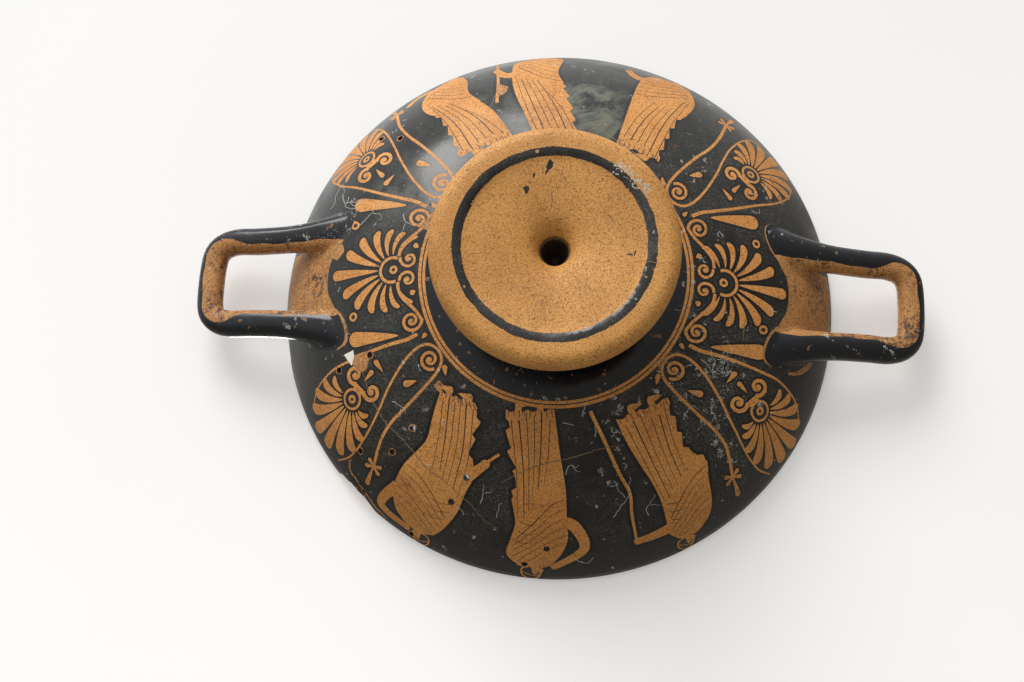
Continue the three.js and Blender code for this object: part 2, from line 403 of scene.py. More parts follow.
def figure(f):
    feet, crown = asPoint(f["feet"]), asPoint(f["crown"])
    axis = crown - feet
    height = abs(axis)
    ahead = axis / height
    heights, lefts, rights = zip(*f["sides"])
    leans = 1 if f["face"] > 0 else 0        # the side that the folds gather towards

    # A point in the dress: part runs from its left edge (0) to its right edge (1)
    def at(t, part):
        left, right = np.interp(t, heights, lefts), np.interp(t, heights, rights)
        return feet + axis * t + 1j * ahead * (left + (right - left) * part)

    before = len(shapes)
    if f["staff"]:
        paint(clay, ribbon(bend(f["staff"]), 1.5, (1.0, 0.8)))
    for k in (-1, 1):            # feet, one before the other, turned the way the figure looks
        heel = feet + axis * 0.015 + 1j * ahead * (k * 4.4)
        toe = heel - 1j * ahead * 5.2 * f["face"]
        paint(clay, drop(toe, heel + 1j * ahead * 1.2 * f["face"], 3.0, 4))
        paint(clay, ribbon(np.array([heel, heel + axis * 0.04]), 2.6))
    hem = [at(heights[0] + (0.014 if i % 2 else 0.0),
              i / dress["pleats"]) for i in range(dress["pleats"] + 1)]
    edges = [bend([at(t, part) for t in heights]) for part in (0, 1)]
    side = 0 if f["cascade"] < 0 else 1
    edge = edges[side]
    run = np.linspace(0, 1, len(edge))
    steps = np.where((run > 0.05) & (run < 0.5), (run * 9) % 1, 0) * dress["step"]
    edges[side] = edge - 1j * ahead * steps * f["cascade"]
    top = heights[-1]
    shoulders = bend([at(top, 1), at(top + 0.022, 0.7), at(top + 0.022, 0.3), at(top, 0)])
    body = np.r_[edges[0], shoulders[::-1][1:-1], edges[1][::-1], np.array(hem[::-1])[1:-1]]
    paint(clay, body)
    for arm in f["arms"]:
        limb = bend(arm)
        paint(clay, ribbon(limb, dress["armWidth"], (1.1, 0.7)), disc(limb[-1], 2.0, 12))
    headOf(f, feet, axis, ahead, height)
    drawn = [outline for colour, outline in shapes[before:] if colour == clay]
    shapes[before:before] = [(contour, widened(outline, dress["stripe"])) for outline in drawn]

    bends = np.random.default_rng(abs(f["feet"][0]) * 10 + len(f["sides"]))
    for i in range(6):           # long folds that hang from the hip to the hem
        part = (i + 0.7) / 6.4
        top = 0.4 + 0.22 * (1 - abs(part - leans)) + bends.uniform(-0.05, 0.05)
        lean = part + (leans - part) * 0.32
        start = heights[0] + bends.uniform(0.01, 0.07)
        fold = [at(start, part), at(start * 0.5 + top * 0.5, part + (lean - part) * 0.4), at(top, lean)]
        width = dress["broadFold"] if i % 3 == 1 else dress["foldWidth"]
        paint(line, ribbon(bend(fold, 1.4), width, (0.9, 0.5)))
    for i in range(6):           # the cloak, drawn from the far hip up over the near shoulder
        t = 0.5 + 0.05 * i
        near, far = (0.04, 0.9) if leans else (0.96, 0.1)
        fold = [at(t - 0.02, near), at(t + 0.015, near * 0.7 + far * 0.3)]
        fold += [at(t + 0.09, far * 0.62 + near * 0.38), at(min(0.86, t + 0.2 - 0.012 * i), far)]
        paint(line, ribbon(bend(fold, 1.2), dress["foldWidth"] * (0.8 + 0.3 * (i == 0)), (0.6, 0.9)))
    for i in range(3):           # a few short folds on the sleeve
        a, b = (0.9, 0.55) if leans else (0.1, 0.45)
        t = 0.6 + 0.055 * i
        fold = [at(t, a), at(t + 0.02, (a + b) / 2), at(t + 0.012, b)]
        paint(line, ribbon(bend(fold, 1.2), 0.4, (0.9, 0.4)))
    for i in range(dress["pleats"]):         # the pleated hem
        place = (i + 0.5) / dress["pleats"]
        pleat = [at(heights[0] + 0.004, place), at(heights[0] + 0.035, place)]
        paint(line, ribbon(bend(pleat, 0.9), 0.34))


head = {
    # a plain profile, looking to the right: (forward, up) in parts of the head's height
    "profile": [(-0.12, 0.02), (-0.17, 0.2), (-0.42, 0.34), (-0.48, 0.62), (-0.36, 0.88), (-0.06, 1.0),
                (0.2, 0.9),
                (0.31, 0.68), (0.345, 0.56), (0.42, 0.42), (0.33, 0.37), (0.345, 0.29), (0.31, 0.24),
                (0.3, 0.12), (0.14, 0.09), (0.1, 0.0)],
    "hair": [(-0.1, 0.28), (-0.36, 0.38), (-0.41, 0.62), (-0.31, 0.83), (-0.06, 0.935), (0.15, 0.84),
             (0.2, 0.7), (0.02, 0.68), (-0.04, 0.52), (-0.02, 0.4)],
    "size": 0.15,               # part of the figure's height
}


def headOf(f, feet, axis, ahead, height):
    size = height * head["size"]
    base = feet + axis * (1 - head["size"])
    forward = -1j * ahead * f["face"]

    def spot(x, y):
        return base + size * (forward * x + ahead * y)

    paint(clay, ribbon(np.array([base - ahead * size * 0.32, base + ahead * size * 0.3]), size * 0.34))
    paint(clay, bend([spot(*p) for p in head["profile"]], 0.6))
    paint(slip, bend([spot(*p) for p in head["hair"]], 0.7))
    paint(line, ribbon(np.array([spot(0.13, 0.57), spot(0.2, 0.585), spot(0.27, 0.565)]), 0.34),
          ribbon(np.array([spot(0.12, 0.645), spot(0.28, 0.65)]), 0.34),
          ribbon(np.array([spot(0.22, 0.27), spot(0.31, 0.275)]), 0.3))
    paint(clay, ribbon(bend([spot(-0.42, 0.56), spot(-0.1, 0.74), spot(0.2, 0.78)], 0.8), 0.55))


handleZone = {"border": [(101.6, 0), (100.6, 7), (97.5, 12.5), (94.2, 17.5)], "outerReach": 136.0}
# places of the holes drilled for mending
menders = [(-77, -36), (-93, -42), (-84, -77.5), (-88, -99), (-57, -66.5), (-67, -77), (-33.5, -86.5),
           (-40.5, -97.5),
           (-64.5, -118), (-9, -127.5), (1, -117.5), (-85.5, 71.5), (-74, 67.5)]
damage = {
    "holeRadius": 1.35, "bareRadius": 1.75,
    "cracks": [
        [(-92, -34.6), (-86.5, -39.5), (-80.5, -43.5), (-78, -50), (-74, -58), (-70, -64), (-60, -73),
         (-50, -84),
         (-44, -88), (-32, -98), (-28, -103), (-21, -109)],
        [(-18, -87.5), (-9, -82.3), (0, -78.6), (10, -76), (20, -72.3), (31, -69.8)],
        [(3, 77), (10, 71.5), (20, 63.5), (33, 54)],
        [(23, 79), (17, 71), (11, 65)],
        [(-33, 79), (-31.5, 86), (-30.5, 96)],
        [(-103, 9), (-97, 15), (-91, 21)],
        [(79, -24), (80, -12)],
    ],
    "plaster": [(-90.2, -35.4), (-85.4, -33.6), (-84.9, -36.5), (-86.2, -40.3)],
    "bare": [                    # slip broken away down to the clay
        [(-30.6, 96.5), (-28.8, 94.8), (-26, 93.5), (-26.4, 89.5), (-28.6, 87), (-30.6, 88.4),
         (-30.2, 92)],
        [(-58.6, 18.6), (-55.3, 21.5), (-51.5, 27), (-51, 20), (-53.8, 16.8)],
        [(-102, 10), (-98.2, 15.4), (-94.6, 14.6), (-93.6, 11), (-97, 7.4)],
        [(-47.8, -49), (-45.4, -46.6), (-43.4, -48.6), (-44.8, -52)],
        [(-84.9, -35.8), (-79.2, -34.4), (-76.4, -34.6), (-77.6, -38.6), (-78.6, -42.2), (-81.4, -43.2),
         (-84.2, -41.4),
         (-86, -39.8)],
    ],
    # a strip of bare clay beside the broken rim
    "brokenEdge": [(-91, -81.5), (-92.9, -84.5), (-93, -88.8), (-89.8, -95.3), (-87.2, -100.2),
                   (-82.9, -105.8),
                   (-77.2, -111.4)],
}


def damageShapes():
    for points in damage["bare"]:
        paint(bareClay, spaced(np.array([asPoint(p) for p in points + points[:1]]), 1.0)[:-1])
    strip = shaky(bend(damage["brokenEdge"]), 0.25, np.random.default_rng(21))
    paint(bareClay, ribbon(strip, 1.5, (0.4, 0.5), 0.6))
    for number, points in enumerate(damage["cracks"]):
        curve = shaky(spaced(bend(points), 0.9), 0.16, np.random.default_rng(40 + number))
        paint(crack, ribbon(curve, 0.42, (0.5, 0.5), 0.5))
    paint(plaster, np.array([asPoint(p) for p in damage["plaster"]]))
    for place in menders:
        wander = np.random.default_rng(abs(int(place[0] * 7 + place[1] * 3)))
        paint(bareClay, shaky(disc(asPoint(place), damage["bareRadius"], 16), 0.16, wander))


# root threads: thin white lines left by roots, wandering over the slip;
# each starts at x and y, with its first turn in degrees and its length
threads = {
    "starts": [(-108, 36, 20, 24), (-101, 43, -70, 20), (-96, 40, -60, 16), (-90, 30, 200, 18),
               (-97, -27, -40, 12),
               (-88, 22, 20, 16), (-66, 26, -80, 10), (60, -33, 10, 12), (68, -38, 120, 12),
               (55, -56, 60, 9),
               (-67, -56, 40, 10), (-28, -98, 80, 10), (-35, -104, 150, 8), (22, -121, -40, 12),
               (28, -101, 5, 22),
               (8, -84, 100, 10), (13, -60, 50, 9), (19, -68, 80, 8), (84, 36, -40, 6), (96, -9, 100, 7),
               (73, -91, -60, 8), (-21, -104, 20, 9), (5, -62, -30, 6), (58, -49, 100, 7),
               (45, -100, 170, 12)],
    "width": 0.34, "step": 0.8,
}


def threadShapes():
    for number, (x, y, turn, length) in enumerate(threads["starts"]):
        wander = np.random.default_rng(700 + number)
        step = threads["step"]
        turns = math.radians(turn) + np.cumsum(wander.normal(0, 0.42, int(length / step)))
        curve = x + 1j * y + np.cumsum(step * np.exp(1j * turns))
        paint(lime, ribbon(curve, threads["width"], (0.9, 0.4)))
        if length > 9:           # a side branch
            middle = curve[len(curve) // 2]
            side = turns[len(turns) // 2] + wander.choice([-1, 1]) * 0.9
            side = side + np.cumsum(wander.normal(0, 0.4, int(length / 2 / step)))
            branch = middle + np.cumsum(step * np.exp(1j * side))
            paint(lime, ribbon(branch, threads["width"] * 0.8, (0.9, 0.4)))


pieces = []                      # (points in mm, faces, paint of each face)


# Which points lie in an outline, by winding number
def inside(outline, points):
    a = outline[:, None]
    b = np.roll(outline, -1)[:, None]
    p = points[None, :]
    cross = (b.real - a.real) * (p.imag - a.imag) - (b.imag - a.imag) * (p.real - a.real)
    up = (a.imag <= p.imag) & (b.imag > p.imag) & (cross > 0)
    down = (a.imag > p.imag) & (b.imag <= p.imag) & (cross < 0)
    return up.sum(0) != down.sum(0)


# A painted surface: triangles whose edges follow every outline, laid on the form by place()
def skin(inner, outer, innerSides, outerSides, shapeList, gap, base, place, holes=()):
    loops = [inner * circle(innerSides), outer * circle(outerSides), *holes]
    fixed = len(loops)
    for colour, outline in shapeList:
        run = np.clip(np.abs(outline), inner, outer - 0.02)
        loops.append(run * np.exp(1j * np.angle(outline)))
    points, edges = [], []
    for loop in loops:
        start = len(points)
        points.extend((p.real, p.imag) for p in loop)
        edges.extend((start + i, start + (i + 1) % len(loop)) for i in range(len(loop)))
    rings = int((outer - inner) / gap)
    for k in range(1, rings):    # loose points between the outlines, so that triangles stay small
        run = inner + (outer - inner) * k / rings
        count = max(12, int(2 * math.pi * run / gap))
        points.extend((p.real, p.imag) for p in run * circle(count, 0.5 * (k % 2)))
    verts, _, faces, _, _, _ = delaunay_2d_cdt([Vector(p) for p in points], edges, [], 0, 1e-4, False)
    flat = np.array([complex(v.x, v.y) for v in verts])
    faces = np.array(faces)
    middle = flat[faces].mean(1)
    keep = inside(loops[1], middle) & ~inside(loops[0], middle)
    for hole in holes:
        keep &= ~inside(hole, middle)
    faces, middle = faces[keep], middle[keep]
    colours = np.full(len(faces), base)
    for (colour, _), loop in zip(shapeList, loops[fixed:]):
        near = (middle.real > loop.real.min()) & (middle.real < loop.real.max())
        near = near & (middle.imag > loop.imag.min()) & (middle.imag < loop.imag.max())
        near = np.nonzero(near)[0]
        if len(near):
            colours[near[inside(loop, middle[near])]] = colour
    pieces.append((place(flat), faces, colours))


# Rows of (radius, height) turned about the cup's axis; one paint for each strip between rows
def lathe(rows, sides, colours):
    rows = np.asarray(rows, float)
    around = circle(sides)
    points, faces, faceColours, ids = [], [], [], []
    for r, z in rows:
        if r < 1e-6:
            ids.append([len(points)] * sides)
            points.append((0, 0, z))
        else:
            ids.append(list(range(len(points), len(points) + sides)))
            points.extend((-r * a.real, r * a.imag, z) for a in around)
    for j in range(len(rows) - 1):
        for i in range(sides):
            k = (i + 1) % sides
            face = [ids[j][i], ids[j][k], ids[j + 1][k], ids[j + 1][i]]
            face = [v for n, v in enumerate(face) if v not in face[:n]]
            faces.append(face)
            faceColours.append(colours[j])
    pieces.append((np.array(points, float), faces, np.array(faceColours)))


handles = {
    "rootReach": 82.0, "halfSpan": 18.6, "rootFlare": 5.5, "rootHeight": 59.0, "cornerRadius": 9.5,
    "barWidth": 11.0, "armWidth": 11.6, "rootWidth": 18.0, "depth": 10.6, "rootDepth": 12.6,
    "barHeight": 71.5, "squareness": 0.82, "fillet": 2.4,
    "slipColumns": 26, "clayColumns": 18, "clearAt": 0.235, "rows": 58, "rootRows": 9, "filletRows": 4,
    # degrees round the section from its outer side to the bare clay: along the arms, then on each bar
    "armBoundary": 116.0, "barBoundary": {"left": 66.0, "right": 70.0},
}
handles["reach"] = cupHigh.x / mm - handles["barWidth"] / 2


def smooth(t):
    t = np.clip(t, 0, 1)
    return t * t * (3 - 2 * t)


def handlePath():
    h = handles
    armEnd = h["reach"] - h["cornerRadius"]
    t = np.linspace(0, 1, 7)
    flare = h["rootFlare"] * (1 - t) ** 2.5
    stations = list(zip(h["rootReach"] + (armEnd - h["rootReach"]) * t, h["halfSpan"] + flare))
    inset = h["cornerRadius"] * (1 - math.sqrt(0.5))
    stations += [(h["reach"] - inset, h["halfSpan"] - inset), (h["reach"],
                                                               h["halfSpan"] - h["cornerRadius"])]
    stations += [(x, -y) for x, y in reversed(stations)]
    x, y = through(stations, 24).T
    rise = ((x - h["rootReach"]) / (h["reach"] - h["rootReach"])) ** 1.2
    return np.stack([x, y, h["rootHeight"] + (h["barHeight"] - h["rootHeight"]) * rise], 1)


path = handlePath()
pathRun = runAlong(np.linalg.norm(np.diff(path, axis=0), axis=1))
pathRun /= pathRun[-1]


# Points around the handle at t, from 0 at one root to 1 at the other
def handleRing(t, side):
    h = handles
    centre = np.array(valuesAt(t, pathRun, path))
    ahead = np.array(valuesAt(t + 0.004, pathRun, path)) - np.array(valuesAt(t - 0.004, pathRun, path))
    ahead /= np.linalg.norm(ahead)
    across = np.cross((0, 0, 1), ahead)
    across /= np.linalg.norm(across)
    over = np.cross(ahead, across)
    toBar = 1 - abs(2 * t - 1)
    rootBlend, barBlend = smooth(toBar / 0.45), smooth((toBar - 0.55) / 0.3)
    width = h["rootWidth"] + (h["armWidth"] - h["rootWidth"]) * rootBlend
    width += (h["barWidth"] - width) * barBlend
    depth = h["rootDepth"] + (h["depth"] - h["rootDepth"]) * rootBlend
    edge = h["armBoundary"] + (h["barBoundary"][side] - h["armBoundary"]) * smooth((toBar - 0.6) / 0.22)
    edge += 3.0 * math.sin(37 * t) + 2.0 * math.sin(83 * t + 1)
    slipPart = -edge + 2 * edge * np.arange(h["slipColumns"]) / h["slipColumns"]
    clayPart = edge + (360 - 2 * edge) * np.arange(h["clayColumns"]) / h["clayColumns"]
    turn = np.radians(np.r_[slipPart, clayPart])
    c = np.sign(np.cos(turn)) * np.abs(np.cos(turn)) ** h["squareness"] * width / 2
    s = np.sign(np.sin(turn)) * np.abs(np.sin(turn)) ** h["squareness"] * depth / 2
    return centre + c[:, None] * across + s[:, None] * over


# Rows from a ring clear of the bowl (t1) down to where the handle melts into the wall
def rootOf(t0, t1, side):
    h = handles
    columns = h["slipColumns"] + h["clayColumns"]
    tracks = np.array([handleRing(t, side) for t in np.linspace(t1, t0, 160)])
    r = np.hypot(tracks[..., 0], tracks[..., 1])
    gapBelow = np.interp(r, outerCurve[:, 0], outerCurve[:, 1]) - tracks[..., 2]
    landings = []
    for k in range(columns):
        hit = np.argmax(gapBelow[:, k] < 0)
        a, b = gapBelow[hit - 1, k], gapBelow[hit, k]
        landings.append(tracks[hit - 1, k] + (tracks[hit, k] - tracks[hit - 1, k]) * a / (a - b))
    landings = np.array(landings)
    flat = toPlan(landings)
    away = flat - flat.mean()
    spread = flat + away / np.abs(away) * h["fillet"]
    feet = onBowl(spread)
    grid = []
    for k in range(columns):
        hit = np.argmax(gapBelow[:, k] < 0)
        track = np.vstack([tracks[:hit, k], landings[k]])
        run = runAlong(np.linalg.norm(np.diff(track, axis=0), axis=1))
        lift = max(run[-1] - h["fillet"], run[-1] * 0.3)
        steps = np.linspace(0, lift, h["rootRows"])
        body = np.stack(valuesAt(steps, run, track), 1)
        t = np.linspace(0, 1, h["filletRows"] + 1)[1:, None]
        curve = (1 - t) ** 2 * body[-1] + 2 * t * (1 - t) * landings[k] + t**2 * feet[k]
        grid.append(np.vstack([body, curve]))
    return np.array(grid).swapaxes(0, 1), spread


# One handle; returns the outlines that it leaves open in the bowl
def addHandle(side):
    h = handles
    columns = h["slipColumns"] + h["clayColumns"]
    clear = h["clearAt"]
    first, firstHole = rootOf(0.0, clear, side)
    last, lastHole = rootOf(1.0, 1 - clear, side)
    middle = np.array([handleRing(t, side) for t in np.linspace(clear, 1 - clear, h["rows"])])
    grid = np.vstack([first[::-1], middle[1:-1], last])
    faces, colours = [], []
    for j in range(len(grid) - 1):
        for k in range(columns):
            n = (k + 1) % columns
            faces.append([j * columns + k, j * columns + n, (j + 1) * columns + n, (j + 1) * columns + k])
            colours.append(glossSlip if k < h["slipColumns"] else bareClay)
    turnTo = 1 if side == "left" else -1
    pieces.append((grid.reshape(-1, 3) * np.array([turnTo, turnTo, 1]), faces, np.array(colours)))
    return [firstHole * turnTo, lastHole * turnTo]


print("painting the plan")
ornament()
for f in figures:
    figure(f)
groundLine()
openings = addHandle("left") + addHandle("right")


# Bare clay between the arms, meeting the handles where their own bare clay starts
def zoneShapes():
    s = handles["slipColumns"]
    for side, (first, second) in ((1, openings[:2]), (-1, (-openings[2], -openings[3]))):
        plus = first if first[0].imag > 0 else second
        minus = second if plus is first else first
        lowPlus, highPlus = sorted((plus[0], plus[s]), key=abs)
        lowMinus, highMinus = sorted((minus[0], minus[s]), key=abs)
        edge = [complex(-x, y) for x, y in handleZone["border"]]
        inner = bend([lowPlus] + edge[::-1] + [e.conjugate() for e in edge[1:]] + [lowMinus])
        reach = handleZone["outerReach"]
        brim = reach * np.exp(1j * np.linspace(math.pi + 0.145, math.pi - 0.145, 14))
        outline = np.r_[inner, [minus.mean()], [highMinus], brim, [highPlus], [plus.mean()]]
        paint(bareClay, outline if side == 1 else -outline)


# bare clay round the ends of some roots: handle, front or back root, width in mm
collars = [("left", "front", 1.7), ("right", "front", 1.2), ("right", "back", 0.6)]
scar = {"width": 3.4, "out": 1.6}        # clay beside the front root of the right handle


# The outline that one root leaves in the bowl
def rootOutline(side, end):
    pair = openings[:2] if side == "left" else openings[2:]
    pair = sorted(pair, key=lambda outline: outline.mean().imag)
    return pair[0] if end == "front" else pair[1]


def collarShapes():
    for side, end, width in collars:
        outline = rootOutline(side, end)
        tip = outline[np.argsort(np.abs(outline))[: len(outline) // 3]]
        tip = tip[np.argsort(np.angle(tip / outline.mean()))]
        if end == "back":
            tip = tip[::-1]
        pushed = bend(list(tip * (1 - 0.5 * width / np.abs(tip))), 1.0)
        paint(bareClay, ribbon(pushed, width, (0.25, 0.8), 0.5))
    outline = rootOutline("right", "front")
    flank = outline[outline.imag < outline.imag.mean() - 2]
    flank = flank[np.argsort(np.abs(flank))][len(flank) // 2:]
    paint(bareClay, ribbon(bend(list(flank - 1j * scar["out"]), 1.0), scar["width"], (0.3, 1.1)))


zoneShapes()
collarShapes()
threadShapes()
damageShapes()

holeSides = 14
drilled = [disc(asPoint(place), damage["holeRadius"], holeSides) for place in menders]
insideCurve = innerCurve()
insideRun = runAlong(np.hypot(*np.diff(insideCurve, axis=0).T))


def onInside(plan):
    return laidOn(plan, insideRun, insideCurve)


# The hole's mouth inside the bowl, straight through the wall from its mouth outside
def drillThrough(place):
    run = abs(place)
    r, z = valuesAt(run, outerRun, outerCurve)
    nearest = np.argmin(np.hypot(insideCurve[:, 0] - r, insideCurve[:, 1] - z))
    return disc(place / run * insideRun[nearest], damage["holeRadius"], holeSides)


# The walls of the mending holes are painted in the dark line colour as painted shade, so that the holes
# look dark inside
def boreWalls():
    points, faces = [], []
    for place, mouth in zip(menders, drilled):
        start = len(points)
        points.extend(onBowl(mouth))
        points.extend(onInside(drillThrough(asPoint(place))))
        for i in range(holeSides):
            k = (i + 1) % holeSides
            faces.append([start + i, start + k, start + holeSides + k, start + holeSides + i])
    pieces.append((np.array(points), faces, np.full(len(faces), line)))


print("laying", len(shapes), "painted shapes on the bowl")
skinStart = 50.0
skin(skinStart, rimRun, 192, 384, shapes, 2.8, slip, onBowl, openings + drilled)
print("outside skin:", len(pieces[-1][1]), "triangles")

tondo = {"edge": 58.0, "line": 0.9, "gap": 1.6}      # plain rings round the floor of the bowl


def tondoShapes():
    around = circle(160)
    found, run = [], tondo["edge"]
    for _ in range(2):
        found += [(clay, around * run), (innerSlip, around * (run - tondo["line"]))]
        run -= tondo["line"] + tondo["gap"]
    return found


floorStart = 12.0
bores = [drillThrough(asPoint(place)) for place in menders]
skin(floorStart, insideRun[-1], 48, 384, tondoShapes(), 3.6, innerSlip, onInside, bores)
boreWalls()


footPaint = {
    "ring": (36.0, 39.8), "sides": 150,
    "splashes": [((-4.8, 28.6), (-2.4, 34.2), 2.5), ((-11.6, 20.4), (-12.2, 23.6), 2.2),
                 ((-9.6, 26.5), (-9.2, 29), 0.9),
                 ((28, -3.4), (30.2, -3.0), 1.2), ((30.8, -4.4), (31.3, -1.6), 0.7)],
    "chips": [((-8.4, 37.4), 0.75), ((35.6, -12.4), 0.5), ((31.2, 23.6), 0.6), ((-33.5, -19.0), 0.5)],
    "hairlines": [[(38.6, 11.6), (41.5, 10.4), (44.2, 8.6), (47, 7.4)],
                  [(-2.2, 22), (-1.6, 18.5), (-2.1, 15)],
                  [(18, 14.5), (21.5, 11.8), (22.5, 9.8)], [(35.4, -6.6), (37.4, -6.2), (40.4, -7.2)]],
    "crust": [((27.5, 28.6), 3.4), ((31.5, 26.4), 2.6), ((24.2, 32.2), 2.4), ((34.6, 23.4), 1.7)],
    "profile": [(8, 7.9), (9.6, 6.1), (13, 4.5), (19, 3.1), (27, 1.9), (35.5, 0.9), (37, 0), (43.8, 0)],
}


# Points (radius, height) round a part of a circle, from one angle to another in degrees
def arc(r, z, radius, start, end, count):
    turn = np.radians(np.linspace(start, end, count))
    return [(r + radius * math.cos(a), z + radius * math.sin(a)) for a in turn]


def turnedParts():
    d = turned
    lip = arc(rimRadius - d["rimWall"] / 2, cupHeight - d["rimWall"] / 2, d["rimWall"] / 2, 0, 150, 9)
    lathe(np.vstack([lip, insideCurve[-1:]]), 384, [slip] * len(lip))
    lathe([(0, d["floorHeight"]), valuesAt(floorStart, insideRun, insideCurve)], 48, [innerSlip])
    stem = np.stack(valuesAt(np.linspace(skinStart, outerRun[0], 30), outerRun, outerCurve), 1)
    edge = d["footRadius"] - d["footEdge"]
    footTop = through([waist] + d["footTop"] + [(edge - 1, 2 * d["footEdge"])], 6)
    rim = arc(edge, d["footEdge"], d["footEdge"], 90, -90, 17)
    rows = np.vstack([stem, footTop[1:], rim])
    colours = [glossSlip if j < len(stem) + len(footTop) else footClay for j in range(len(rows))]
    lathe(rows, 192, colours)
    top = (d["holeTop"], d["holeHeight"] - 1.5)
    hole = [(8, 7.9), (7.0, 8.9), (6.2, 10.2), (5.5, 12.2), (4.6, 15.5), top, (0, d["holeHeight"])]
    # the hole is painted darker the deeper it goes: foot clay, then the crack colour, then the dark line
    # colour
    lathe(hole, 192, [footClay] * 2 + [crack] + [line] * 3)


turnedParts()


def underFoot(plan):
    z = np.interp(np.abs(plan), *zip(*footPaint["profile"]))
    return np.stack([-plan.real, plan.imag, z], -1)


def footShapes():
    wander = np.random.default_rng(5)
    around = 2 * math.pi * np.arange(footPaint["sides"]) / footPaint["sides"]
    rough = np.convolve(wander.standard_normal(footPaint["sides"] + 2), [0.5, 1, 0.5],
                        "valid")[: footPaint["sides"]]
    inner, outer = footPaint["ring"]
    found = [(slip, (outer + 0.13 * rough) * np.exp(1j * around))]
    found.append((footClay, (inner - 0.11 * np.roll(rough, 9)) * np.exp(1j * around)))
    for tail, tip, width in footPaint["splashes"]:
        found.append((slip, shaky(drop(asPoint(tail), asPoint(tip), width, 6), 0.18, wander)))
    for middle, radius in footPaint["chips"]:
        found.append((bareClay, disc(asPoint(middle), radius, 9)))
    for points in footPaint["hairlines"]:
        found.append((crack, ribbon(bend(points, 0.8), 0.28, (0.6, 0.6), 0.6)))
    for middle, size in footPaint["crust"]:     # crumbs of lime, thickest in the middle
        for _ in range(26):
            crumb = asPoint(middle) + size * 0.55 * complex(*wander.standard_normal(2))
            found.append((lime, disc(crumb, wander.uniform(0.14, 0.5), 6)))
    for _ in range(60):          # nicks in the ring's edges
        turn, run = wander.uniform(0, 2 * math.pi), wander.choice([inner, outer])
        found.append((footClay, disc(run * np.exp(1j * turn), wander.uniform(0.15, 0.42), 6)))
    return found


footInner, footOuter = turned["holeMouth"] + 2, turned["footRadius"] - turned["footEdge"]
skin(footInner, footOuter, 192, 192, footShapes(), 1.9, footClay, underFoot)
print("pieces laid:", len(pieces))


# places where the rim is broken: degrees round the rim, then the depth and length of the break in mm
chips = [{"angle": 313.5, "depth": 5.0, "length": 22.0}, {"angle": 348.0, "depth": 2.6, "length": 13.0}]
chipReach = 6.0                  # how far below a break the wall is pressed down
rimBand = 0.85 * rimRadius       # only points farther out than this are near the rim


# Height of the broken edge of the rim above each point
def chipTop(points):
    depth = np.zeros(len(points))
    for chip in chips:
        turn = np.degrees(np.arctan2(points[:, 1], points[:, 0])) - chip["angle"]
        along = np.radians((turn + 180) % 360 - 180) * rimRadius / (chip["length"] / 2)
        ragged = 0.1 * (np.sin(along * 9) + 0.6 * np.sin(along * 23 + 1))
        depth = np.maximum(depth, np.sqrt(np.clip(1 - along**2, 0, 1)) * chip["depth"] * (1 + ragged))
    return cupHeight - depth


# Press the rim down along its breaks
def pressRim(points):
    points = np.array(points, float)
    top = chipTop(points)
    low = top - chipReach
    high = (points[:, 2] > low) & (np.hypot(points[:, 0], points[:, 1]) > rimBand)
    pressed = low + (points[:, 2] - low) * (top - low) / (cupHeight - low)
    fall = np.where(high, points[:, 2] - pressed, 0)
    points[:, 2] -= fall
    points[:, :2] *= (1 - 0.3 * fall / rimRadius)[:, None]
    return points


# Bare the clay where the rim is broken
def bareBreaks(points, faces, colours):
    colours = np.array(colours)
    middles = np.array([points[face].mean(0) for face in faces])
    bared = (chipTop(middles) < cupHeight - 1) & (middles[:, 2] > chipTop(middles) - 1.3)
    bared &= np.hypot(middles[:, 0], middles[:, 1]) > rimBand
    colours[bared] = bareClay
    return colours


# metres, and the angle in radians over which an edge is hard
weld = {"same": 2e-6, "corner": 5e-6, "sliver": 5e-5, "sharp": 1.05}


# Join the pieces, and close each seam where painted edges cross it
def weldSeams(bm):
    bmesh.ops.remove_doubles(bm, verts=bm.verts, dist=weld["same"])
    rings = pressRim(np.vstack([onBowl(outline) for outline in openings + drilled])) * mm
    seams = KDTree(len(rings))
    for number, place in enumerate(rings):
        seams.insert(place, number)
    seams.balance()
    loose = [v for v in bm.verts if any(len(e.link_faces) == 1 for e in v.link_edges)]
    nearest = {v: seams.find(v.co) for v in loose}
    corners = {number: v for v, (place, number, gap) in nearest.items() if gap < weld["corner"]}
    onto = {v: corners[number] for v, (place, number, gap) in nearest.items() if number in corners}
    bmesh.ops.weld_verts(bm, targetmap={v: to for v, to in onto.items() if v != to})
    slivers = [e for e in bm.edges if len(e.link_faces) != 2 and e.calc_length() < weld["sliver"]]
    bmesh.ops.collapse(bm, edges=slivers, uvs=False)


def joinedMesh(name):
    bm = bmesh.new()
    for points, faces, colours in pieces:
        points = pressRim(points)
        colours = bareBreaks(points, faces, colours)
        verts = [bm.verts.new(p) for p in points * mm]
        for face, colour in zip(faces, colours):
            made = bm.faces.new([verts[i] for i in face])
            made.material_index = int(colour)
            made.smooth = True
    weldSeams(bm)
    bmesh.ops.delete(bm, geom=[v for v in bm.verts if not v.link_faces], context="VERTS")
    bmesh.ops.recalc_face_normals(bm, faces=bm.faces)
    if bm.calc_volume(signed=True) < 0:
        bmesh.ops.reverse_faces(bm, faces=bm.faces)
    gaps = [e for e in bm.edges if len(e.link_faces) != 2]
    for edge in bm.edges:        # hard edges round the mending holes and the breaks
        edge.smooth = len(edge.link_faces) == 2 and edge.calc_face_angle() < weld["sharp"]
    triangles = sum(len(f.verts) - 2 for f in bm.faces)
    clayVolume = round(bm.calc_volume() * 1e6, 1)
    print("cup:", triangles, "triangles,", len(gaps), "open edges,", clayVolume, "ml of clay")
    mesh = bpy.data.meshes.new(name)
    bm.to_mesh(mesh)
    bm.free()
    return mesh


cup = bpy.data.objects.new("kylix", joinedMesh("kylix"))
bpy.context.scene.collection.objects.link(cup)


